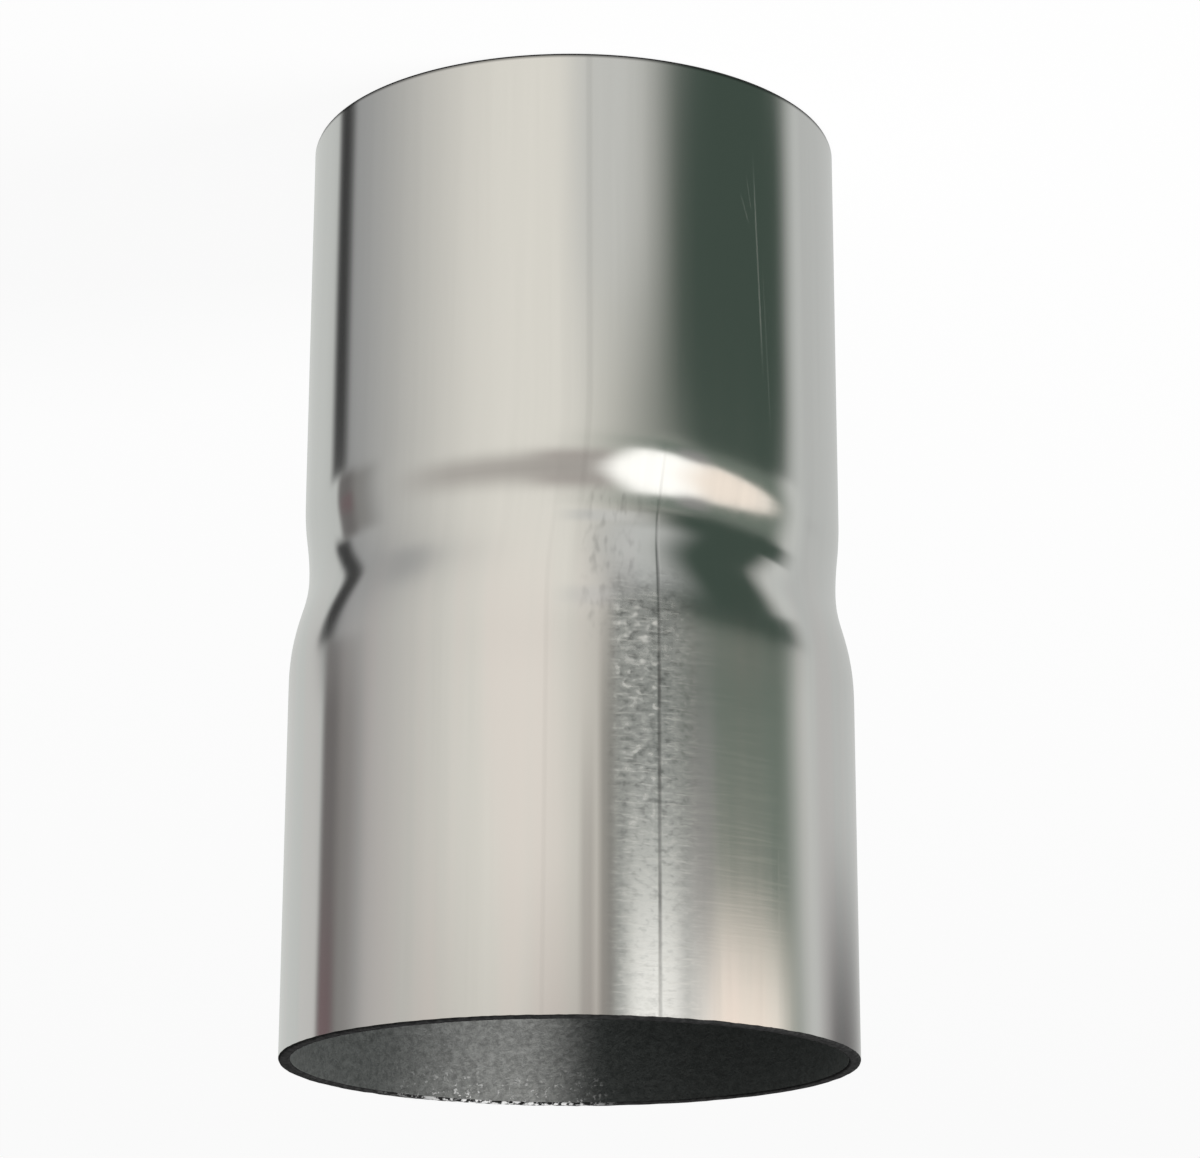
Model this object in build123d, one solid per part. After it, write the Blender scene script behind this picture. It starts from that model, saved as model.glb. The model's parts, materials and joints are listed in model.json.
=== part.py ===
from build123d import *
import math
import os

# Exhaust pipe sleeve: one length of welded steel tube, 57 mm outside, cut square at both ends.
# A shallow neck is rolled in at mid-length, as a stop, and from there the tube is expanded into a
# socket that slips over another pipe of the same size. It stands on its plain end, socket mouth up.
# Millimetres. +Z is the tube's axis, and z = 0 is the plain end's rim.

# Driving dimensions
PIPE_OUTSIDE_RADIUS = 28.5    # the tube that the sleeve is made from, and the pipe its socket takes
WALL = 1.2                    # sheet thickness, the same all the way along
SLIP_CLEARANCE = 0.1          # radial play between the socket and the pipe in it
SPIGOT_LENGTH = 41.0          # straight plain end
SOCKET_LENGTH = 40.0          # straight part of the socket
NECK_DEPTH = 0.6              # how far the neck is rolled in, below the plain end's outside
NECK_RUN = 8.0                # axial length from the plain end to the neck's bottom
NECK_BEND_SHARE = 0.55        # part of that run that bends hollow, next to the neck's bottom
FLARE_RUN = 11.0              # axial length from the neck's bottom to the socket
FLARE_BEND_SHARE = 0.36       # part of that run that bends hollow, next to the neck's bottom
RIM_BEVEL = 0.25              # edges broken at both cut ends

# Outside radii and heights that follow from them
neck_radius = PIPE_OUTSIDE_RADIUS - NECK_DEPTH
socket_radius = PIPE_OUTSIDE_RADIUS + SLIP_CLEARANCE + WALL
length = SPIGOT_LENGTH + NECK_RUN + FLARE_RUN + SOCKET_LENGTH

# The wall is drawn upwards, so a turn to the left leads towards the axis.
INWARDS = 1
OUTWARDS = -1


def step_bends(step, run):
    """Two tangent arcs that shift a straight wall sideways by step over run: their angle and summed radii."""
    angle = 2 * math.atan2(step, run)
    return math.degrees(angle), run / math.sin(angle)


def draw_outside():
    """Outside line of the wall in the section plane, from the plain end up to the socket's mouth."""
    neck_angle, neck_bends = step_bends(NECK_DEPTH, NECK_RUN)
    flare_angle, flare_bends = step_bends(socket_radius - neck_radius, FLARE_RUN)
    spigot = Line((PIPE_OUTSIDE_RADIUS, 0), (PIPE_OUTSIDE_RADIUS, SPIGOT_LENGTH))
    lead_in = JernArc(spigot @ 1, spigot % 1, (1 - NECK_BEND_SHARE) * neck_bends, INWARDS * neck_angle)
    neck_in = JernArc(lead_in @ 1, lead_in % 1, NECK_BEND_SHARE * neck_bends, OUTWARDS * neck_angle)
    neck_out = JernArc(neck_in @ 1, neck_in % 1, FLARE_BEND_SHARE * flare_bends, OUTWARDS * flare_angle)
    shoulder = JernArc(
        neck_out @ 1, neck_out % 1, (1 - FLARE_BEND_SHARE) * flare_bends, INWARDS * flare_angle)
    Line(shoulder @ 1, (socket_radius, length))


def sleeve():
    """The outside line, set off inwards by one wall to a closed section, and turned about the axis."""
    with BuildPart() as tube:
        with BuildSketch(Plane.XZ) as section:
            with BuildLine():
                draw_outside()
                offset(amount=WALL, side=Side.LEFT)
            make_face()
            rims = section.vertices().group_by(Axis.Y)
            chamfer(rims[0] + rims[-1], RIM_BEVEL)
        revolve(axis=Axis.Z)
    return tube.part


def build():
    os.makedirs("parts", exist_ok=True)
    export_step(sleeve(), "parts/sleeve.step")
    print(f"length {length:.2f}, neck bottom at {SPIGOT_LENGTH + NECK_RUN:.2f}")
    print(f"outside radii: spigot {PIPE_OUTSIDE_RADIUS:.2f}, neck {neck_radius:.2f}, socket {socket_radius:.2f}")
    print(f"inside radii: spigot {PIPE_OUTSIDE_RADIUS - WALL:.2f}, socket {socket_radius - WALL:.2f}")


build()
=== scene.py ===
# %% [markdown]
# # An exhaust pipe sleeve in bright rolled steel
# The sleeve is one short piece of welded tube. Its plain end is the spigot, its widened end is the
# socket, and between them a shallow neck is rolled in as a stop for the pipes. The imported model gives
# the true sizes, so this lesson starts by loading it and reading them.

# %% Load the measured model
import bpy
import json
import math
from mathutils import Matrix, Vector


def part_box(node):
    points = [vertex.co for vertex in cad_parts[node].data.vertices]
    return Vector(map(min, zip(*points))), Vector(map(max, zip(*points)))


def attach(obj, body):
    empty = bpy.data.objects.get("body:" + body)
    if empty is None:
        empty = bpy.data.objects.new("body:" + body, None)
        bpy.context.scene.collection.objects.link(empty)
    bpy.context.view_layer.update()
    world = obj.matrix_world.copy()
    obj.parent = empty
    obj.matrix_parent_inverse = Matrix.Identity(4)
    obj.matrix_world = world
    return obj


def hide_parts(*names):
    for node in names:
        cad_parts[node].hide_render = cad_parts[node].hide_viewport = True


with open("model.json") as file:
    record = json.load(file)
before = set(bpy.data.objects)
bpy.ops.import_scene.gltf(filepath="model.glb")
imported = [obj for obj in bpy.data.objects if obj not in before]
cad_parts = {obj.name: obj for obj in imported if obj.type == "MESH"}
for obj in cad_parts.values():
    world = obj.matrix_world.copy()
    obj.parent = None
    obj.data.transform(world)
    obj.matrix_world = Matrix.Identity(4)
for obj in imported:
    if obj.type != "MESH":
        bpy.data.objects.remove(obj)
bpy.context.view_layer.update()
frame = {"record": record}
scene = bpy.context.scene
scene.view_settings.view_transform = "Standard"

# %% [markdown]
# Radii and lengths come from the model's mounts, the places where a pipe goes in or on. Only the form of
# the neck isn't stated there, so its depth, its run and how its bends share that run are given here.

# %% Sizes of the tube, in metres
MM = 0.001
mounts = {mount["name"]: mount["dims"] for mount in frame["record"]["mounts"]}
low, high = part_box("sleeve")
LENGTH = high[2] - low[2]
SOCKET_RADIUS = (high[0] - low[0]) / 2
SPIGOT_RADIUS = mounts["spigot_outside"]["r_mm"] * MM
SPIGOT_LENGTH = mounts["spigot_outside"]["length_mm"] * MM
SOCKET_LENGTH = mounts["socket_bore"]["length_mm"] * MM
WALL = SOCKET_RADIUS - mounts["socket_bore"]["r_mm"] * MM
NECK_DEPTH = 0.6 * MM
NECK_RUN = 8.0 * MM
NECK_HOLLOW_SHARE = 0.55
NECK_HEIGHT = SPIGOT_LENGTH + NECK_RUN
FLARE_RUN = LENGTH - SPIGOT_LENGTH - NECK_RUN - SOCKET_LENGTH
FLARE_HOLLOW_SHARE = 0.36
print(f"length {LENGTH / MM:.1f} mm, wall {WALL / MM:.2f} mm, flare run {FLARE_RUN / MM:.1f} mm")

# %% [markdown]
# ## The camera
# The picture was taken from above, looking a little way into the socket's mouth, and is printed upside
# down: the spigot is at its top. So the camera looks down at the standing sleeve and is rolled by half a
# turn. Place, tilt and focal length are those that lay the rims and sides on the photograph's.

# %% Camera rolled by half a turn
CAMERA_PLACE = Vector((-3.0, -356.4, 154.4)) * MM
CAMERA_TILT = math.radians(16.63)
CAMERA_ROLL = math.radians(180.11)
CAMERA_NEAR_LIMIT = 0.01
PICTURE_WIDTH_PX = 1200
FOCAL_LENGTH_PX = 3487
SENSOR_WIDTH_MM = 36.0


def make_camera():
    lens = bpy.data.cameras.new("photo_camera")
    lens.sensor_width = SENSOR_WIDTH_MM
    lens.lens = SENSOR_WIDTH_MM * FOCAL_LENGTH_PX / PICTURE_WIDTH_PX
    lens.clip_start = CAMERA_NEAR_LIMIT
    camera = bpy.data.objects.new("photo_camera", lens)
    upright = Matrix.Rotation(math.pi / 2 - CAMERA_TILT, 4, "X")
    roll = Matrix.Rotation(CAMERA_ROLL, 4, "Z")
    camera.matrix_world = Matrix.Translation(CAMERA_PLACE) @ upright @ roll
    scene.collection.objects.link(camera)
    scene.camera = camera
    return camera


camera = make_camera()
print(f"focal length {camera.data.lens:.1f} mm, tilt {math.degrees(CAMERA_TILT):.2f} degrees")

# %% [markdown]
# ## Sums as nodes
# Both the tube's shape and its finish are written as sums on nodes. They could be wired by hand in the
# node editor, but a few short helpers keep the sums readable: each makes one node, plugs its inputs in
# and hands back the output.

# %% Helpers that make one node each


def plug(tree, value, socket):
    """Link an output to a socket, or set the socket's own value."""
    if isinstance(value, bpy.types.NodeSocket):
        tree.links.new(value, socket)
    else:
        socket.default_value = value


def plug_named(tree, node, values):
    """Plug values into a node's inputs by their names."""
    for name, value in values.items():
        plug(tree, value, node.inputs[name])


def plug_in_turn(tree, node, values):
    """Plug values into a node's inputs from the first one on."""
    for value, socket in zip(values, node.inputs):
        plug(tree, value, socket)


def calc(tree, operation, *values):
    """One sum on up to three numbers."""
    node = tree.nodes.new("ShaderNodeMath")
    node.operation = operation
    plug_in_turn(tree, node, values)
    return node.outputs[0]


def rise(tree, value, start, end, low_value=0.0, high_value=1.0):
    """Smooth step of a value, from low_value at start to high_value at end."""
    node = tree.nodes.new("ShaderNodeMapRange")
    node.interpolation_type = "SMOOTHSTEP"
    plug_named(tree, node, {"Value": value, "From Min": start, "From Max": end,
                            "To Min": low_value, "To Max": high_value})
    return node.outputs[0]


def noise(tree, vector, scale, detail=2.0, roughness=0.5):
    """Soft noise from 0 to 1, mostly near the middle."""
    node = tree.nodes.new("ShaderNodeTexNoise")
    plug_named(tree, node, {"Vector": vector, "Scale": scale, "Detail": detail, "Roughness": roughness})
    return node.outputs[0]


def combine(tree, x, y, z):
    node = tree.nodes.new("ShaderNodeCombineXYZ")
    plug_in_turn(tree, node, (x, y, z))
    return node.outputs[0]


def separate(tree, vector):
    node = tree.nodes.new("ShaderNodeSeparateXYZ")
    plug(tree, vector, node.inputs[0])
    return node.outputs


print("eight helpers for sums")

# %% [markdown]
# ## The formed tube
# A tube mill makes the pipe, a roller presses the neck into it and an expander opens the socket, so its
# shape follows one rule: a radius for each height. Spinning a drawn outline would also do, but a rule
# is just what Geometry Nodes hold best. The neck and the flare are each two bends that meet, softened a
# little, as pressed metal is. The tools ran out of true: on the picture's right the whole formed ring
# lies a little nearer the mouth and its neck is shallower.

# %% Rule for the radius at each height
BEND_SOFTNESS = 0.12
RUN_OUT = 1.6 * MM
RUN_OUT_DEPTH_SHARE = 0.80
RUN_OUT_BEARINGS = [math.radians(degrees) for degrees in (14, 60, 100, 170)]


def soft_ramp_squared(tree, value):
    """Square of a ramp that leaves zero gently instead of at a corner."""
    reach = calc(tree, "SQRT", calc(tree, "MULTIPLY_ADD", value, value, BEND_SOFTNESS ** 2))
    ramp = calc(tree, "MULTIPLY", calc(tree, "ADD", value, reach), 0.5)
    return calc(tree, "MULTIPLY", ramp, ramp)


def bent_step(tree, height, start, run, first_share):
    """0 to 1 over a run of height, as two bends that meet at first_share of the run."""
    part = calc(tree, "DIVIDE", calc(tree, "SUBTRACT", height, start), run)
    last_share = 1.0 - first_share
    step = 0.0
    for corner, bend in ((0.0, 1.0 / first_share), (first_share, -1.0 / (first_share * last_share)),
                         (1.0, 1.0 / last_share)):
        ramp = soft_ramp_squared(tree, calc(tree, "SUBTRACT", part, corner))
        step = calc(tree, "MULTIPLY_ADD", ramp, bend, step)
    return step


def ring_run_out(tree, bearing):
    """0 to 1 on the picture's right, where the formed ring lies nearer the mouth and is shallower."""
    begin, full, full_end, end = RUN_OUT_BEARINGS
    return calc(tree, "MULTIPLY", rise(tree, bearing, begin, full),
                rise(tree, bearing, full_end, end, 1.0, 0.0))


def radius_rule(tree, height, bearing, inputs):
    """Outside radius: spigot, less the neck, plus the flare to the socket."""
    run_out = ring_run_out(tree, bearing)
    formed = calc(tree, "MULTIPLY_ADD", run_out, -RUN_OUT, height)
    neck = bent_step(tree, formed, SPIGOT_LENGTH, NECK_RUN, 1.0 - NECK_HOLLOW_SHARE)
    depth = calc(tree, "MULTIPLY", inputs["Neck depth"],
                 calc(tree, "MULTIPLY_ADD", run_out, RUN_OUT_DEPTH_SHARE - 1.0, 1.0))
    flare = bent_step(tree, formed, NECK_HEIGHT, FLARE_RUN, FLARE_HOLLOW_SHARE)
    necked = calc(tree, "SUBTRACT", inputs["Spigot radius"], calc(tree, "MULTIPLY", neck, depth))
    neck_radius = calc(tree, "SUBTRACT", inputs["Spigot radius"], depth)
    opened = calc(tree, "SUBTRACT", inputs["Socket radius"], neck_radius)
    return calc(tree, "MULTIPLY_ADD", flare, opened, necked)


print(f"neck {NECK_DEPTH / MM:.1f} mm deep, out of true by up to {RUN_OUT / MM:.1f} mm")

# %% [markdown]
# The mill welds the strip's two edges together. Rolling leaves that weld flat on the spigot and as a fine
# groove on the socket, and it drifts a little round the tube between them. A separate strip laid on the
# tube would stand proud of it, so the groove is taken off the radius as a narrow bell instead.

# %% Groove of the weld seam
SPIGOT_SEAM_BEARING = math.radians(20.2)
SOCKET_SEAM_BEARING = math.radians(17.2)
SEAM_DRIFT_HEIGHTS = (36 * MM, 58 * MM)
SEAM_DEPTH = 0.014 * MM
SEAM_HALF_WIDTH = 0.13 * MM
SEAM_FADE_HEIGHTS = (44 * MM, 56 * MM)


def seam_bearing(tree, height, unit=1.0):
    """Where the weld seam runs at a height, which is counted in a unit given in metres."""
    start, end = (edge / unit for edge in SEAM_DRIFT_HEIGHTS)
    return rise(tree, height, start, end, SPIGOT_SEAM_BEARING, SOCKET_SEAM_BEARING)


def seam_rule(tree, arc, height):
    """How far the weld seam's fine groove lies below the tube's round."""
    near = calc(tree, "DIVIDE", arc, SEAM_HALF_WIDTH)
    groove = calc(tree, "EXPONENT", calc(tree, "MULTIPLY", calc(tree, "MULTIPLY", near, near), -1.0))
    groove = calc(tree, "MULTIPLY", groove, rise(tree, height, *SEAM_FADE_HEIGHTS))
    return calc(tree, "MULTIPLY", groove, SEAM_DEPTH)


print(f"groove {SEAM_DEPTH / MM:.3f} mm deep, {2 * SEAM_HALF_WIDTH / MM:.2f} mm wide")

# %% [markdown]
# A flat grid is wrapped round the axis, and each of its points gets the radius of its height. Columns
# stand closer together at the weld seam, where the fine groove needs them. A slow noise makes the round
# a trace wavy, as rolled sheet is, and a quick one tears the saw's cut at the mouth. The last nodes
# weld the grid's two sides together, shade it smooth and give it its finish.

# %% Tree that wraps a grid into the tube
TUBE_INPUTS = ("Length", "Spigot radius", "Socket radius", "Neck depth", "Wave height", "Burr depth")
COLUMNS = 300
ROWS = 156
SEAM_CROWDING = 0.9
END_INSET = 0.01 * MM
WAVE_SCALE = 45.0
WAVE_DETAIL = 1.0
BURR_SCALE = 900.0
BURR_REACH = 1.2 * MM
WELD_DISTANCE = 0.001 * MM


def on_round(tree, bearing, radius, height):
    """The place at a bearing, a radius and a height. Bearing 0 is the camera's side."""
    east = calc(tree, "MULTIPLY", calc(tree, "SINE", bearing), -1.0)
    north = calc(tree, "MULTIPLY", calc(tree, "COSINE", bearing), -1.0)
    x, y = (calc(tree, "MULTIPLY", side, radius) for side in (east, north))
    return combine(tree, x, y, height)


def grid_on_tube(tree, inputs):
    """Where each point of the flat grid goes on the tube."""
    across, along, _ = separate(tree, tree.nodes.new("GeometryNodeInputPosition").outputs[0])
    turn = calc(tree, "MULTIPLY", across, 2 * math.pi)
    bunched = calc(tree, "MULTIPLY", calc(tree, "SINE", turn), SEAM_CROWDING)
    from_seam = calc(tree, "SUBTRACT", turn, bunched)
    height = calc(tree, "MULTIPLY_ADD", calc(tree, "ADD", along, 0.5), inputs["Length"], END_INSET)
    bearing = calc(tree, "SUBTRACT", seam_bearing(tree, height), from_seam)
    round_radius = radius_rule(tree, height, bearing, inputs)
    arc = calc(tree, "MULTIPLY", from_seam, round_radius)
    radius = calc(tree, "SUBTRACT", round_radius, seam_rule(tree, arc, height))
    place = on_round(tree, bearing, radius, height)
    wave = calc(tree, "MULTIPLY", noise(tree, place, WAVE_SCALE, WAVE_DETAIL), inputs["Wave height"])
    radius = calc(tree, "SUBTRACT", radius, wave)
    torn = calc(tree, "MULTIPLY", noise(tree, place, BURR_SCALE), inputs["Burr depth"])
    torn = calc(tree, "MULTIPLY", torn, rise(tree, height, LENGTH - BURR_REACH, LENGTH))
    return on_round(tree, bearing, radius, calc(tree, "SUBTRACT", height, torn))


def next_node(tree, kind, geometry):
    """A node that takes the geometry so far in at its first socket."""
    node = tree.nodes.new(kind)
    plug(tree, geometry, node.inputs[0])
    return node


def tube_tree(steel):
    """The tree, and the identifier of each of its named inputs."""
    tree = bpy.data.node_groups.new("formed_tube", "GeometryNodeTree")
    sockets = {}
    for name in TUBE_INPUTS:
        sockets[name] = tree.interface.new_socket(name, in_out="INPUT", socket_type="NodeSocketFloat")
    tree.interface.new_socket("Geometry", in_out="OUTPUT", socket_type="NodeSocketGeometry")
    inputs = tree.nodes.new("NodeGroupInput").outputs
    grid = tree.nodes.new("GeometryNodeMeshGrid")
    plug_named(tree, grid, {"Vertices X": COLUMNS + 1, "Vertices Y": ROWS + 1})
    wrap = next_node(tree, "GeometryNodeSetPosition", grid.outputs["Mesh"])
    plug(tree, grid_on_tube(tree, inputs), wrap.inputs["Position"])
    weld = next_node(tree, "GeometryNodeMergeByDistance", wrap.outputs[0])
    plug(tree, WELD_DISTANCE, weld.inputs["Distance"])
    smooth = next_node(tree, "GeometryNodeSetShadeSmooth", weld.outputs[0])
    real = next_node(tree, "GeometryNodeRealizeInstances", smooth.outputs[0])
    finish = next_node(tree, "GeometryNodeSetMaterial", real.outputs[0])
    plug(tree, steel, finish.inputs["Material"])
    next_node(tree, "NodeGroupOutput", finish.outputs[0])
    return tree, {name: socket.identifier for name, socket in sockets.items()}


print("one rule for", COLUMNS, "columns and", ROWS, "rows")

# %% [markdown]
# ## Three finishes
# The outside is bright rolled steel, which shows its surroundings with soft edges. The inside keeps
# the mill's dull, blotchy coat, and the rims are raw cuts. All three read the piece's own coordinates,
# so their marks stay on the steel from every side.

# %% Start of a finish


def new_finish(name):
    """A new metal finish, with its node tree and its shader."""
    finish = bpy.data.materials.new(name)
    finish.use_nodes = True
    tree = finish.node_tree
    shader = tree.nodes["Principled BSDF"]
    shader.inputs["Metallic"].default_value = 1.0
    return finish, tree, shader


def millimetres(tree):
    """The piece's own coordinates, in millimetres."""
    coordinates = tree.nodes.new("ShaderNodeTexCoord")
    scale = tree.nodes.new("ShaderNodeVectorMath")
    scale.operation = "SCALE"
    plug(tree, coordinates.outputs["Object"], scale.inputs[0])
    plug(tree, 1.0 / MM, scale.inputs["Scale"])
    return scale.outputs[0]


def blend_colours(tree, share, first, second):
    """The first colour, with a share of the second over it."""
    node = tree.nodes.new("ShaderNodeMix")
    node.data_type = "RGBA"
    for value, socket in ((share, node.inputs[0]), (first, node.inputs[6]), (second, node.inputs[7])):
        plug(tree, value, socket)
    return node.outputs[2]


def bump(tree, height, distance, strength):
    node = tree.nodes.new("ShaderNodeBump")
    plug_named(tree, node, {"Height": height, "Distance": distance, "Strength": strength})
    return node.outputs[0]


print("four helpers for finishes")

# %% [markdown]
# ## Marks on the bright steel
# Handling and the tube mill leave marks that belong to places on the tube, so they are laid out like ink
# on the unrolled sheet: millimetres round the tube from the weld seam, and millimetres of height. A
# painted picture would hold them too, but marks given by formulas stay sharp at any size.

# %% Places and strokes on the unrolled tube
GRAIN_ROUGHNESS = 0.6
STROKE_CORE_SHARE = 0.2
STROKE_FADE_SHARE = 0.3


def bearing_of(tree, x, y):
    """Angle round the upright axis, 0 on the camera's side and growing to the picture's right."""
    return calc(tree, "ARCTAN2", calc(tree, "MULTIPLY", x, -1.0), calc(tree, "MULTIPLY", y, -1.0))


def seam_arc(tree, place):
    """Millimetres round the tube from the weld seam, growing to the picture's right, and the height."""
    x, y, z = separate(tree, place)
    turn = calc(tree, "SUBTRACT", bearing_of(tree, x, y), seam_bearing(tree, z, MM))
    return calc(tree, "MULTIPLY", turn, SPIGOT_RADIUS / MM), z


def drawn_out(tree, arc, height, across, along, detail=3.0):
    """Noise on the unrolled tube, with its own count of grains per millimetre each way."""
    x = calc(tree, "MULTIPLY", arc, across)
    y = calc(tree, "MULTIPLY", height, along)
    return noise(tree, combine(tree, x, y, 0.0), 1.0, detail, GRAIN_ROUGHNESS)


def inside_span(tree, value, span, edges):
    """1 well inside a span, falling smoothly to 0 over its edges."""
    rising = rise(tree, value, span[0], span[0] + edges[0])
    falling = rise(tree, value, span[1] - edges[1], span[1], 1.0, 0.0)
    return calc(tree, "MULTIPLY", rising, falling)


def patch(tree, arc, height, arcs, arc_edges, heights, height_edges):
    """1 well inside a span of arc and one of height, with soft edges to both."""
    return calc(tree, "MULTIPLY", inside_span(tree, arc, arcs, arc_edges),
                inside_span(tree, height, heights, height_edges))


def stroke(tree, arc, height, start, end, half_width):
    """A thin stroke from one place to another, each an arc and a height, fading at both ends."""
    slant = (end[0] - start[0]) / (end[1] - start[1])
    line = calc(tree, "MULTIPLY_ADD", calc(tree, "SUBTRACT", height, start[1]), slant, start[0])
    off = calc(tree, "ABSOLUTE", calc(tree, "SUBTRACT", arc, line))
    fade = (end[1] - start[1]) * STROKE_FADE_SHARE
    return calc(tree, "MULTIPLY", rise(tree, off, STROKE_CORE_SHARE * half_width, half_width, 1.0, 0.0),
                inside_span(tree, height, (start[1], end[1]), (fade, fade)))


def all_strokes(tree, arc, height, strokes):
    """Every stroke of a list, the stronger one where two meet. Each ends with its strength."""
    shown = 0.0
    for start, end, half_width, strength in strokes:
        one = calc(tree, "MULTIPLY", stroke(tree, arc, height, start, end, half_width), strength)
        shown = calc(tree, "MAXIMUM", shown, one)
    return shown


print("seven helpers for marks")

# %% [markdown]
# Along the weld a band on the socket is rubbed dull. It is no flat grey: a fine grain breaks it up into
# dark and light, and bright flecks cling to it beside the weld. One noise would look like felt, so
# grain, streaks and flecks each have a noise of their own, cut off where its marks begin and are full.
# A patch is written as its span of arc, that span's soft edges, its span of height and the soft edges of
# that one, in millimetres. A grain is its count per millimetre round and along the tube, and its detail.

# %% Band rubbed dull along the weld
RUBBED_PATCH = ((-5.5, 5.4), (1.8, 5.0), (53.0, 140.0), (7.0, 1.0))
FLECKED_PATCH = ((-4.9, 0.6), (1.2, 1.2), (54.0, 88.0), (5.0, 20.0))
RUB_GRAIN = (1.0, 1.3, 2.0)
RUB_STREAKS = (0.5, 2.6, 2.0)
FLECK_GRAIN = (1.1, 1.3, 1.0)
FLECK_CLUSTERS = (0.3, 0.2)
DARK_GRAIN_SHARE = 0.75
LIGHT_GRAIN_SHARE = 0.5
DARK_FADE_HEIGHTS = (70.0, 95.0)
DARK_LEFT_AT_MOUTH = 0.3
FLECK_SHARE = 0.6


def rubbed_band(tree, arc, height):
    """The rubbed band's share, and its dark and light grain."""
    band = patch(tree, arc, height, *RUBBED_PATCH)
    grain = drawn_out(tree, arc, height, *RUB_GRAIN)
    streaks = drawn_out(tree, arc, height, *RUB_STREAKS)
    dark = rise(tree, grain, 0.26, 0.52, DARK_GRAIN_SHARE, 0.0)
    dark = calc(tree, "MULTIPLY", dark, rise(tree, height, *DARK_FADE_HEIGHTS, 1.0, DARK_LEFT_AT_MOUTH))
    light = calc(tree, "MAXIMUM", rise(tree, grain, 0.50, 0.78, 0.0, LIGHT_GRAIN_SHARE),
                 rise(tree, streaks, 0.48, 0.75, 0.0, LIGHT_GRAIN_SHARE))
    return band, dark, light


def weld_flecks(tree, arc, height):
    """Bright flecks in clusters, just left of the weld."""
    spots = rise(tree, drawn_out(tree, arc, height, *FLECK_GRAIN), 0.50, 0.78)
    clusters = rise(tree, drawn_out(tree, arc, height, *FLECK_CLUSTERS), 0.36, 0.56)
    flecks = calc(tree, "MULTIPLY", calc(tree, "MULTIPLY", spots, clusters),
                  patch(tree, arc, height, *FLECKED_PATCH))
    return calc(tree, "MULTIPLY", flecks, FLECK_SHARE)


left, right = RUBBED_PATCH[0]
print(f"band {right - left:.1f} mm wide, from a height of {RUBBED_PATCH[2][0]:.0f} mm up")

# %% [markdown]
# Smaller marks follow: small dark specks left of the weld, hairlines round the socket, faint warm bands
# in the rolled sheet, a thin dark line along the weld's groove, and painted shade along the spigot's cut
# edge. Each is the share of its own colour, from 0 to 1, so each can be changed without the others.

# %% Dark specks, hairlines, warm bands, weld line and painted edge shade
DARK_SPECK_PATCH = ((-8.0, -1.0), (1.4, 2.0), (45.5, 65.0), (2.5, 6.0))
DARK_SPECK_GRAIN = (1.2, 0.5, 1.0)
DARK_SPECK_SHARE = 0.28
HAIRLINE_PATCH = ((0.0, 17.0), (2.0, 4.0), (56.0, 104.0), (10.0, 16.0))
HAIRLINE_GRAIN = (0.14, 3.0, 6.0)
HAIRLINE_SHARE = 0.10
ROSY_GRAIN = (0.16, 0.006, 2.0)
ROSY_HEIGHTS = (45.0, 65.0)
WELD_LINE_HALF_WIDTHS = (0.03, 0.28)
WELD_LINE_HEIGHTS = (38.0, 62.0)
WELD_LINE_SHARE = 0.7
WELD_LINE_GRAIN = (1.0, 0.14)
WELD_LINE_LEFT = 0.6
WELD_LINE_FADE_HEIGHTS = (88.0, 100.0)
CUT_EDGE_SHADE_HEIGHTS = (0.25, 0.6)
CUT_EDGE_SHADE_SHARE = 0.8


def dark_specks(tree, arc, height):
    """Small dark specks left of the weld, from the neck to the foot of the socket."""
    spots = rise(tree, drawn_out(tree, arc, height, *DARK_SPECK_GRAIN), 0.46, 0.76)
    spots = calc(tree, "MULTIPLY", spots, patch(tree, arc, height, *DARK_SPECK_PATCH))
    return calc(tree, "MULTIPLY", spots, DARK_SPECK_SHARE)


def cross_hairlines(tree, arc, height):
    """Fine lines round the tube on the socket, right of the weld."""
    lines = rise(tree, drawn_out(tree, arc, height, *HAIRLINE_GRAIN), 0.42, 0.72)
    lines = calc(tree, "MULTIPLY", lines, patch(tree, arc, height, *HAIRLINE_PATCH))
    return calc(tree, "MULTIPLY", lines, HAIRLINE_SHARE)


def rosy_bands(tree, arc, height):
    """Faint warm bands along the socket."""
    bands = rise(tree, drawn_out(tree, arc, height, *ROSY_GRAIN), 0.42, 0.62)
    return calc(tree, "MULTIPLY", bands, rise(tree, height, *ROSY_HEIGHTS))


def weld_line_and_edge_shade(tree, arc, height):
    """A thin dark line along the weld's groove, fainter in places, and painted shade along the spigot's
    cut edge.
    """
    # A thin dark line along the weld's groove, fainter in places.
    line = calc(tree, "MULTIPLY", rise(tree, calc(tree, "ABSOLUTE", arc), *WELD_LINE_HALF_WIDTHS, 1.0, 0.0),
                rise(tree, height, *WELD_LINE_HEIGHTS, 0.0, WELD_LINE_SHARE))
    worn = rise(tree, drawn_out(tree, 0.0, height, *WELD_LINE_GRAIN), 0.35, 0.65, WELD_LINE_LEFT, 1.0)
    worn = calc(tree, "MULTIPLY", worn, rise(tree, height, *WELD_LINE_FADE_HEIGHTS, 1.0, WELD_LINE_LEFT))
    # Painted shade: a dark band along the spigot's cut edge.
    edge_shade = rise(tree, height, *CUT_EDGE_SHADE_HEIGHTS, CUT_EDGE_SHADE_SHARE, 0.0)
    return calc(tree, "MAXIMUM", calc(tree, "MULTIPLY", line, worn), edge_shade)


print("four kinds of small marks")
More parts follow.
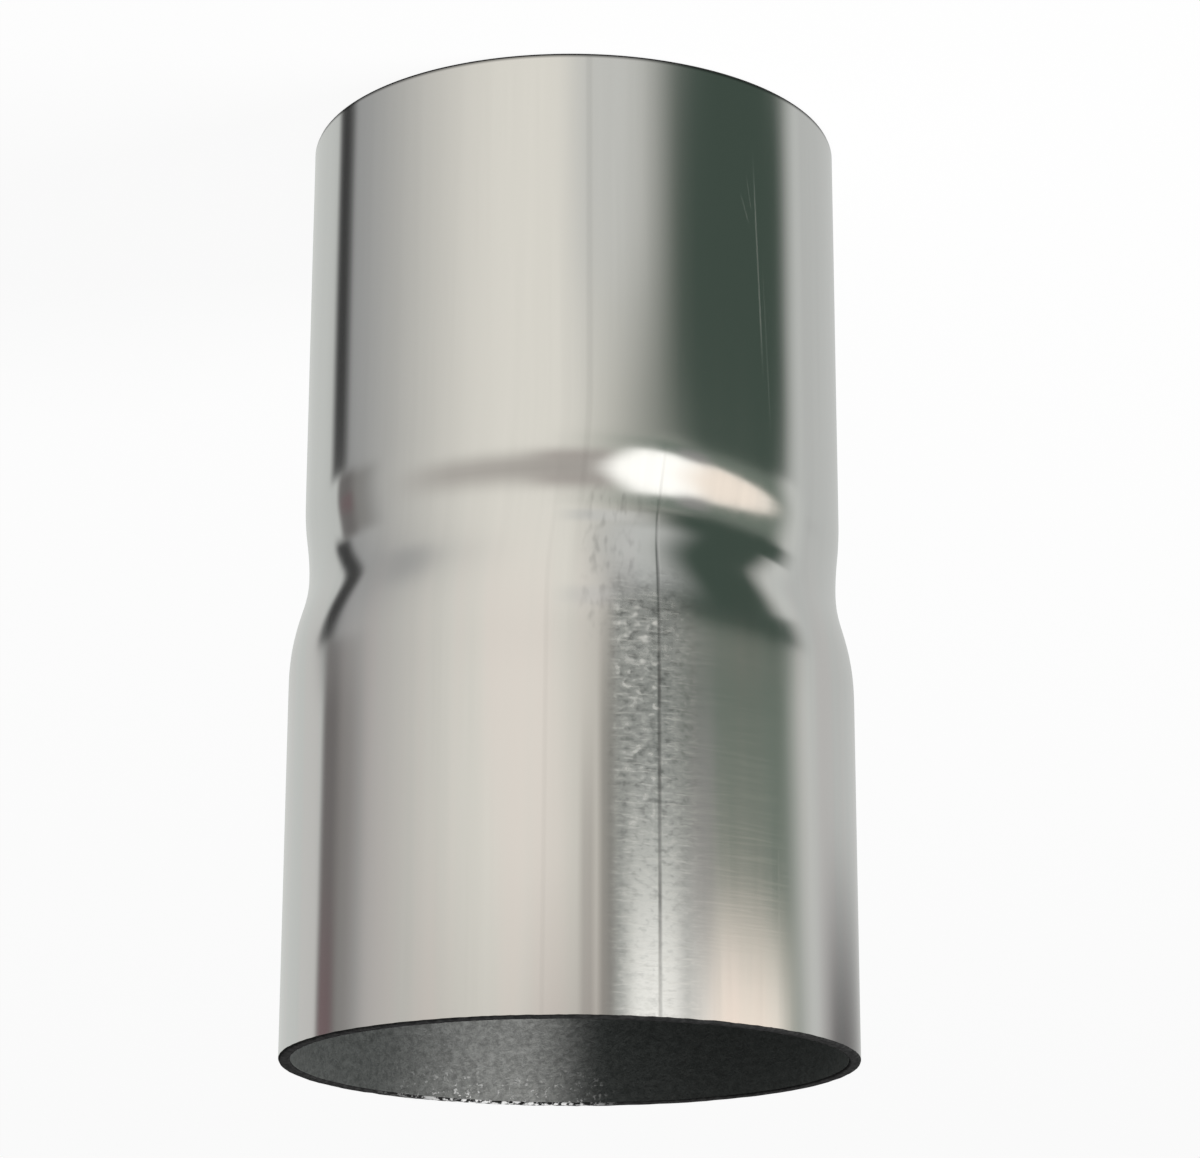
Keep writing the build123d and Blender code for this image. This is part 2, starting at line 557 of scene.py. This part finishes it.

# %% [markdown]
# The finish puts it all together. The rolled steel's grain runs along the tube, the marks go over it one
# after another, and a few drawn lines and scratches are placed one by one, as strokes: where each starts
# and ends, as an arc and a height, then its half width and its strength. Marked steel is rougher than
# rolled steel, so the same shares that change its colour also blur what it mirrors. A relief is the
# bump's depth and strength.

# %% Bright rolled steel outside
BRIGHT_STEEL = (0.72, 0.72, 0.71, 1.0)
SHADED_STEEL = (0.704, 0.704, 0.694, 1.0)
ROSY_STEEL = (0.735, 0.708, 0.70, 1.0)
RUBBED_STEEL = (0.41, 0.42, 0.42, 1.0)
POLISHED_RUB = (0.77, 0.77, 0.765, 1.0)
POLISHED_HEIGHTS = (72.0, 97.0)
POLISHED_ARCS = ((-4.4, 3.0), (2.4, 2.0))
# Dark colour of small specks left of the weld and of the rubbed band's dark grain.
DARK_SPECK_STEEL = (0.17, 0.175, 0.175, 1.0)
FLECK = (0.86, 0.86, 0.85, 1.0)
# Dark colour of thin lines on the steel and of the painted shade along the spigot's cut edge.
DARK_LINES_AND_EDGE_SHADE = (0.10, 0.10, 0.10, 1.0)
ROLLED_GRAIN = (0.6, 0.012, 4.0)
ROLLED_LIMITS = (0.3, 0.7)
ROLLED_ROUGHNESS = (0.095, 0.12)
RUB_ROUGHNESS = (0.11, 0.16)
MARK_ROUGHNESS = 0.2
WORKED_HEIGHTS = ((56.0, 68.0), (3.0, 6.0))
WORKED_ROUGHNESS = 0.05
MARK_RELIEF = 0.6
BRIGHT_RELIEF = (0.02 * MM, 0.1)
DRAWN_LINES = (((-8.4, -30.0), (-8.0, 62.0), 0.5, 0.10), ((-6.8, 66.0), (-6.8, 130.0), 1.0, 0.26),
               ((-5.0, 50.0), (-5.0, 140.0), 1.1, 0.42), ((-10.6, 40.0), (-11.0, 120.0), 0.35, 0.06))
SCRATCHES = (((10.4, 6.0), (11.7, 34.0), 0.20, 0.7), ((8.6, 12.6), (10.0, 16.6), 0.16, 0.5),
             ((9.5, 10.5), (10.3, 15.0), 0.14, 0.4), ((11.6, 18.0), (12.8, 40.0), 0.12, 0.3),
             ((13.2, 76.0), (13.0, 104.0), 0.16, 0.08))


def rub_colour(tree, arc, height, dark, light):
    """Colour of the rubbed band: dull, polished again towards the mouth, with its grain."""
    polished = calc(tree, "MULTIPLY", rise(tree, height, *POLISHED_HEIGHTS),
                    inside_span(tree, arc, *POLISHED_ARCS))
    colour = blend_colours(tree, polished, RUBBED_STEEL, POLISHED_RUB)
    colour = blend_colours(tree, dark, colour, DARK_SPECK_STEEL)
    return blend_colours(tree, light, colour, SHADED_STEEL)


def bright_roughness(tree, height, rolled, band, light, light_marks):
    """Rolled steel's roughness, raised in the rubbed band, under light marks and at the flare's end."""
    dulled = calc(tree, "MULTIPLY", band, rise(tree, light, 0.0, 0.6, *RUB_ROUGHNESS))
    dulled = calc(tree, "MULTIPLY_ADD", light_marks, MARK_ROUGHNESS, dulled)
    worked = inside_span(tree, height, *WORKED_HEIGHTS)
    dulled = calc(tree, "MULTIPLY_ADD", worked, WORKED_ROUGHNESS, dulled)
    return calc(tree, "ADD", rise(tree, rolled, *ROLLED_LIMITS, *ROLLED_ROUGHNESS), dulled)


def bright_finish():
    finish, tree, shader = new_finish("bright_rolled_steel")
    arc, height = seam_arc(tree, millimetres(tree))
    band, dark, light = rubbed_band(tree, arc, height)
    light_marks = calc(tree, "MAXIMUM", weld_flecks(tree, arc, height),
                       all_strokes(tree, arc, height, SCRATCHES))
    light_marks = calc(tree, "MAXIMUM", light_marks, cross_hairlines(tree, arc, height))
    rolled = drawn_out(tree, arc, height, *ROLLED_GRAIN)
    colour = blend_colours(tree, rise(tree, rolled, *ROLLED_LIMITS), BRIGHT_STEEL, SHADED_STEEL)
    for share, over in ((rosy_bands(tree, arc, height), ROSY_STEEL),
                        (band, rub_colour(tree, arc, height, dark, light)),
                        (dark_specks(tree, arc, height), DARK_SPECK_STEEL),
                        (all_strokes(tree, arc, height, DRAWN_LINES), DARK_LINES_AND_EDGE_SHADE),
                        (light_marks, FLECK),
                        (weld_line_and_edge_shade(tree, arc, height), DARK_LINES_AND_EDGE_SHADE)):
        colour = blend_colours(tree, share, colour, over)
    plug(tree, colour, shader.inputs["Base Color"])
    roughness = bright_roughness(tree, height, rolled, band, light, light_marks)
    plug(tree, roughness, shader.inputs["Roughness"])
    relief = calc(tree, "MULTIPLY", calc(tree, "SUBTRACT", light, dark), band)
    relief = calc(tree, "MULTIPLY_ADD", light_marks, MARK_RELIEF, relief)
    plug(tree, bump(tree, relief, *BRIGHT_RELIEF), shader.inputs["Normal"])
    return finish


bright = bright_finish()
print(bright.name, "with", len(bright.node_tree.nodes), "nodes")

# %% [markdown]
# The mill's dull coat stays inside, blotchy and rather dark. Its colour holds painted light and shade: a
# paler streak left of the middle is painted where the lamp's light falls in through the mouth, and the
# darker coat elsewhere is partly the coat's own tone and partly painted shade. Bright specks near the
# mouth are painted glints on the burrs. It is hardly a mirror, so here the lamp and not the surroundings
# gives the light. Two noises do, each written as its scale, detail and roughness: a rich one for the
# blotches and a plainer one for the glints.

# %% Dull mill coat inside
# Two coats: the paler one is painted light where the lamp's light falls in, the darker one is partly
# painted shade.
SHADED_COAT = ((0.029, 0.034, 0.032, 1.0), (0.072, 0.080, 0.076, 1.0))
LIT_COAT = ((0.29, 0.295, 0.285, 1.0), (0.56, 0.57, 0.55, 1.0))
LIT_START = (-4.0, 5.0)
LIT_END = (5.0, 22.0)
LIT_LEFT = 0.14
BLOTCH_NOISE = (1.3, 6.0, 0.75)
# Painted glints: bright specks of colour on the burrs near the mouth.
PAINTED_GLINT = (0.9, 0.9, 0.89, 1.0)
GLINT_NOISE = (1.7, 2.0, 0.6)
GLINT_HEIGHTS = (95.0, 99.7)
BURRED_X = ((-6.0, 22.0), (8.0, 12.0))
BURRED_Y = (0.0, 10.0)
COAT_METALLIC = 0.2
COAT_ROUGHNESS = 0.5
COAT_RELIEF = (0.1 * MM, 0.4)


def burred_side(tree, x, y):
    """1 on the part of the round where the saw left burrs, seen left of the mouth's middle, where glints
    are painted.
    """
    return calc(tree, "MULTIPLY", inside_span(tree, x, *BURRED_X), rise(tree, y, *BURRED_Y))


def dull_finish():
    finish, tree, shader = new_finish("dull_coat_and_painted_light")
    place = millimetres(tree)
    x, y, z = separate(tree, place)
    blotch = rise(tree, noise(tree, place, *BLOTCH_NOISE), 0.30, 0.72)
    coats = [blend_colours(tree, blotch, *pair) for pair in (SHADED_COAT, LIT_COAT)]
    # Painted light: the coat is paler where the lamp's light falls in through the mouth, and darker
    # elsewhere, partly as painted shade.
    lit_share = calc(tree, "MULTIPLY", rise(tree, x, *LIT_START),
                      rise(tree, x, *LIT_END, 1.0, LIT_LEFT))
    colour = blend_colours(tree, lit_share, *coats)
    # Painted glints: bright specks of colour just inside the mouth, on the burred side.
    glints = rise(tree, noise(tree, place, *GLINT_NOISE), 0.60, 0.70)
    glints = calc(tree, "MULTIPLY", glints, burred_side(tree, x, y))
    glints = calc(tree, "MULTIPLY", glints, rise(tree, z, *GLINT_HEIGHTS))
    plug(tree, blend_colours(tree, glints, colour, PAINTED_GLINT), shader.inputs["Base Color"])
    shader.inputs["Metallic"].default_value = COAT_METALLIC
    shader.inputs["Roughness"].default_value = COAT_ROUGHNESS
    plug(tree, bump(tree, calc(tree, "ADD", blotch, glints), *COAT_RELIEF), shader.inputs["Normal"])
    return finish


dull = dull_finish()
print(dull.name, "with", len(dull.node_tree.nodes), "nodes")

# %% [markdown]
# The rims are raw saw cuts, torn, with burrs left standing over part of the mouth's round. Their
# near-black colour is partly the cut's own dull steel and partly painted shade, and the burrs carry
# painted glints. They could be metal with a high roughness, but a cut this rough mirrors next to nothing,
# so the finish isn't metallic and has no specular light at all.

# %% Raw cut rims
# Near black: partly the cut's own dull steel, partly painted shade.
SAWN_STEEL_AND_SHADE = (0.022, 0.022, 0.022, 1.0)
WORN_SHARE = 0.03
TORN_NOISE = (1.5, 3.0, 0.6)
MOUTH_HEIGHTS = (50.0, 60.0)
CUT_ROUGHNESS = 0.5
CUT_RELIEF = (0.2 * MM, 0.6)


def cut_finish():
    finish, tree, shader = new_finish("raw_cut_rim")
    place = millimetres(tree)
    x, y, z = separate(tree, place)
    torn = noise(tree, place, *TORN_NOISE)
    # Painted glints: the burrs get bright specks of colour.
    burr_glints = calc(tree, "MULTIPLY", rise(tree, torn, 0.46, 0.56), burred_side(tree, x, y))
    burr_glints = calc(tree, "MULTIPLY", burr_glints, rise(tree, z, *MOUTH_HEIGHTS))
    worn = blend_colours(tree, rise(tree, torn, 0.35, 0.7, 0.0, WORN_SHARE), SAWN_STEEL_AND_SHADE, SHADED_STEEL)
    plug(tree, blend_colours(tree, burr_glints, worn, PAINTED_GLINT), shader.inputs["Base Color"])
    shader.inputs["Metallic"].default_value = 0.0
    shader.inputs["Specular IOR Level"].default_value = 0.0
    shader.inputs["Roughness"].default_value = CUT_ROUGHNESS
    plug(tree, bump(tree, torn, *CUT_RELIEF), shader.inputs["Normal"])
    return finish


finishes = [cut_finish(), bright, dull]
print("finishes:", [finish.name for finish in finishes])

# %% [markdown]
# ## The sleeve
# The rule gives the outside skin alone. Solidify adds the wall inwards and hands the inner face and
# the rims their own finishes, and Bevel breaks the four rim edges. A grid made by nodes starts with one
# empty material slot, so the skin's finish lands in slot 1: the inside is one slot after it, and the
# rims are one slot before it.

# %% Make the sleeve and stand it in the frame
WAVE_HEIGHT = 0.05 * MM
BURR_DEPTH = 0.16 * MM
RIM_BEVEL = 0.25 * MM
RIM_BEVEL_SEGMENTS = 2
SHARP_ANGLE = math.radians(60)


def shape_skin(skin):
    """The rule, the wall and the broken rims, as modifiers."""
    tree, sockets = tube_tree(bright)
    rule = skin.modifiers.new("formed_tube", "NODES")
    rule.node_group = tree
    values = (LENGTH - 2 * END_INSET, SPIGOT_RADIUS, SOCKET_RADIUS, NECK_DEPTH, WAVE_HEIGHT, BURR_DEPTH)
    for name, value in zip(TUBE_INPUTS, values):
        rule[sockets[name]] = value
    wall = skin.modifiers.new("wall", "SOLIDIFY")
    wall.thickness = WALL
    wall.offset = -1.0
    wall.use_even_offset = True
    wall.material_offset = 1
    wall.material_offset_rim = -1
    edge = skin.modifiers.new("broken_rims", "BEVEL")
    edge.width = RIM_BEVEL
    edge.segments = RIM_BEVEL_SEGMENTS
    edge.material = 0
    edge.limit_method = "ANGLE"
    edge.angle_limit = SHARP_ANGLE
    edge.harden_normals = True


def make_sleeve():
    skin = bpy.data.objects.new("sleeve_skin", bpy.data.meshes.new("sleeve_skin"))
    scene.collection.objects.link(skin)
    for finish in finishes:
        skin.data.materials.append(finish)
    shape_skin(skin)
    evaluated = skin.evaluated_get(bpy.context.evaluated_depsgraph_get())
    plain = bpy.data.meshes.new_from_object(evaluated)
    skin.modifiers.clear()
    skin.data = plain
    for index, finish in enumerate(finishes):
        if index < len(plain.materials):
            plain.materials[index] = finish
        else:
            plain.materials.append(finish)
    return skin


sleeve = make_sleeve()
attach(sleeve, "root")
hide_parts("sleeve")
faces = [0] * len(finishes)
for face in sleeve.data.polygons:
    faces[face.material_index] += 1
print("faces on the rims, outside and inside:", faces)

# %% [markdown]
# ## Studio
# The floor is a sheet of white paper. A mirror-bright piece on white would lose its edges if it also
# mirrored the paper, so mirror rays don't see it, and to the camera it is nearly plain white: what is
# left of its own shading keeps a trace of the sleeve's shadow.

# %% White paper floor
FLOOR_HALF = 3.0
FLOOR_WHITENESS = 0.93
PAPER = (0.9, 0.9, 0.9, 1.0)
PAPER_ROUGHNESS = 0.9


def paper_finish():
    paper = bpy.data.materials.new("white_paper")
    paper.use_nodes = True
    tree = paper.node_tree
    shader = tree.nodes["Principled BSDF"]
    shader.inputs["Base Color"].default_value = PAPER
    shader.inputs["Roughness"].default_value = PAPER_ROUGHNESS
    rays = tree.nodes.new("ShaderNodeLightPath")
    white = tree.nodes.new("ShaderNodeEmission")
    mixed = tree.nodes.new("ShaderNodeMixShader")
    share = calc(tree, "MULTIPLY", rays.outputs["Is Camera Ray"], FLOOR_WHITENESS)
    plug_in_turn(tree, mixed, (share, shader.outputs[0], white.outputs[0]))
    plug(tree, mixed.outputs[0], tree.nodes["Material Output"].inputs["Surface"])
    return paper


def make_floor():
    mesh = bpy.data.meshes.new("floor")
    corners = [(-FLOOR_HALF, -FLOOR_HALF, 0), (FLOOR_HALF, -FLOOR_HALF, 0),
               (FLOOR_HALF, FLOOR_HALF, 0), (-FLOOR_HALF, FLOOR_HALF, 0)]
    mesh.from_pydata(corners, [], [(0, 1, 2, 3)])
    mesh.materials.append(paper_finish())
    floor = bpy.data.objects.new("floor", mesh)
    scene.collection.objects.link(floor)
    floor.visible_glossy = False
    return floor


floor = make_floor()
print(floor.name, 2 * FLOOR_HALF, "m wide")

# %% [markdown]
# The straight wall of a standing tube mirrors a ring just below the horizon, and the neck and the flare
# tip that ring up and down. So the surroundings are painted as soft cards, each with a span of bearing
# and of elevation: a warm paper in front, a green-grey flag on the picture's right with a bright window
# over it, and a thin post on its left. Real cards round the sleeve would do as well, but they would
# stand in the way of other views.

# %% Soft cards that the steel mirrors
EVERYWHERE = (-91, 91)
ALL_ROUND = (-181, 181)
HARD = (1, 1)


def card(bearings, sides, elevations, ends, colour, lean=0.0, slope=0.0):
    """A card's spans of bearing and elevation with their soft edges, in degrees, and its colour.

    Bearing 0 is the camera's side and grows to the picture's right. lean shifts the card's sides for
    each degree above LEAN_LEVEL, and slope lifts its ends for each degree of bearing.
    """
    return bearings, sides, elevations, ends, colour, lean, slope


STUDIO_CARDS = {
    "grey wall": card((-116, 60), (2, 40), EVERYWHERE, HARD, (0.395, 0.40, 0.40)),
    "warm paper": card((-118, 120), (98, 60), EVERYWHERE, HARD, (0.95, 0.92, 0.845)),
    "dim side": card((110, 181), (12, 1), EVERYWHERE, HARD, (0.60, 0.61, 0.595)),
    "paler flag": card((-16, 109), (60, 20), (-20, 91), (5, 1), (0.185, 0.225, 0.19), 0.4),
    "paler flag's heart": card((40, 106), (22, 18), (-23, -14), (3, 3), (0.125, 0.155, 0.13)),
    "green flag": card((-8, 108), (64, 18), (-91, -15), (1, 4.5), (0.066, 0.094, 0.076)),
    "green flag's edge": card((82, 117), (6, 20), (-27, -16), (2.5, 3), (0.066, 0.094, 0.076)),
    "tongue of paper": card((-10, 48), (20, 29), (-33, -19.5), (6, 3), (0.71, 0.71, 0.68)),
    "bright low card": card((0, 67), (30, 34), (-91, -22), (1, 15), (0.66, 0.67, 0.65)),
    "shaded low card": card((-150, -62), (30, 30), (-91, -30), (1, 12), (0.44, 0.44, 0.43)),
    "dark post": card((-128, -108), (6, 9), (-91, -14.5), (1, 4), (0.12, 0.12, 0.12)),
    "dark post's core": card((-126, -110), (6, 8), (-45, -16.5), (5, 3), (0.055, 0.055, 0.055)),
    "grey post": card((-119, -84), (5, 18), (-18.5, -4), (5, 2.5), (0.29, 0.285, 0.275)),
    "grey post's core": card((-119.5, -101), (5, 9), (-18.5, -4), (4, 2.5), (0.185, 0.175, 0.172)),
    "maroon end": card((-118, -103), (4, 6), (-12, -4), (3, 2.5), (0.20, 0.14, 0.147)),
    "shaded strip": card((-90, 24), (40, 11), (-13, 40), (13, 10), (0.39, 0.36, 0.335)),
    "second shaded strip": card((-25, 24), (22, 11), (-12.5, -4), (9, 3), (0.39, 0.345, 0.325)),
    "window": card((29, 118), (16, 28), (-12.9, 91), (1.9, 1), (1.5, 1.48, 1.42), -1.6, 0.02),
    "warm card": card((58, 119), (20, 26), (-12.3, 91), (1.8, 1), (1.2, 1.06, 0.93), -1.6, 0.012),
    "gap beside the window": card((41, 63), (9, 9), (-15, -8.6), (1, 3.2), (0.30, 0.30, 0.29)),
    "dark card": card((112, 181), (20, 45), (-13, 4), (4.5, 8), (0.17, 0.165, 0.165)),
    "ceiling": card(ALL_ROUND, HARD, (4, 91), (26, 1), (0.85, 0.85, 0.85)),
}
print("studio with", len(STUDIO_CARDS), "cards")

# %% [markdown]
# The world lays the cards over a pale room, one after another, as a painter would. Only mirror rays see
# them. All other rays see plain, even light, so that the dull inside isn't tinted, and the camera sees
# white. A picture of a real studio would be richer, but the script uses no pictures.

# %% World that shows the cards to mirror rays
PALE_ROOM = (0.655, 0.67, 0.65, 1.0)
PLAIN_LIGHT = (0.3, 0.3, 0.3, 1.0)
WHITE = (1.0, 1.0, 1.0, 1.0)
LEAN_LEVEL = -18
DEGREES = 180 / math.pi


def lay_cards(tree, bearing, elevation):
    """The pale room's colour with every card over it."""
    shown = PALE_ROOM
    above = calc(tree, "SUBTRACT", elevation, LEAN_LEVEL)
    for bearings, sides, elevations, ends, colour, lean, slope in STUDIO_CARDS.values():
        across = calc(tree, "MULTIPLY_ADD", above, -lean, bearing) if lean else bearing
        upward = calc(tree, "MULTIPLY_ADD", bearing, -slope, elevation) if slope else elevation
        share = calc(tree, "MULTIPLY", inside_span(tree, across, bearings, sides),
                     inside_span(tree, upward, elevations, ends))
        shown = blend_colours(tree, share, shown, (*colour, 1.0))
    return shown


def make_surroundings():
    world = bpy.data.worlds.new("studio")
    scene.world = world
    world.use_nodes = True
    tree = world.node_tree
    x, y, z = separate(tree, tree.nodes.new("ShaderNodeTexCoord").outputs["Generated"])
    bearing = calc(tree, "MULTIPLY", bearing_of(tree, x, y), DEGREES)
    elevation = calc(tree, "MULTIPLY", calc(tree, "ARCSINE", z), DEGREES)
    rays = tree.nodes.new("ShaderNodeLightPath")
    plain = blend_colours(tree, rays.outputs["Is Camera Ray"], PLAIN_LIGHT, WHITE)
    mirrored = lay_cards(tree, bearing, elevation)
    seen = blend_colours(tree, rays.outputs["Is Glossy Ray"], plain, mirrored)
    plug(tree, seen, tree.nodes["Background"].inputs["Color"])
    return world


world = make_surroundings()
print(world.name, "with", len(world.node_tree.nodes), "nodes")

# %% [markdown]
# One broad lamp on the picture's right shines into the socket's mouth and puts the floor's shadow down.
# A small lamp would do so too, but its shadow would have hard edges.

# %% Broad lamp
LAMP_PLACE = Vector((-0.40, -0.15, 0.55))
LAMP_SIZE = 0.25
LAMP_POWER = 3.5


def make_lamp():
    light = bpy.data.lights.new("broad_lamp", "AREA")
    light.size = LAMP_SIZE
    light.energy = LAMP_POWER
    lamp = bpy.data.objects.new("broad_lamp", light)
    lamp.location = LAMP_PLACE
    aim = Vector((0, 0, LENGTH)) - LAMP_PLACE
    lamp.rotation_euler = aim.to_track_quat("-Z", "Y").to_euler()
    scene.collection.objects.link(lamp)
    return lamp


lamp = make_lamp()
print("lamp", round(lamp.location.length, 2), "m from the sleeve's foot")
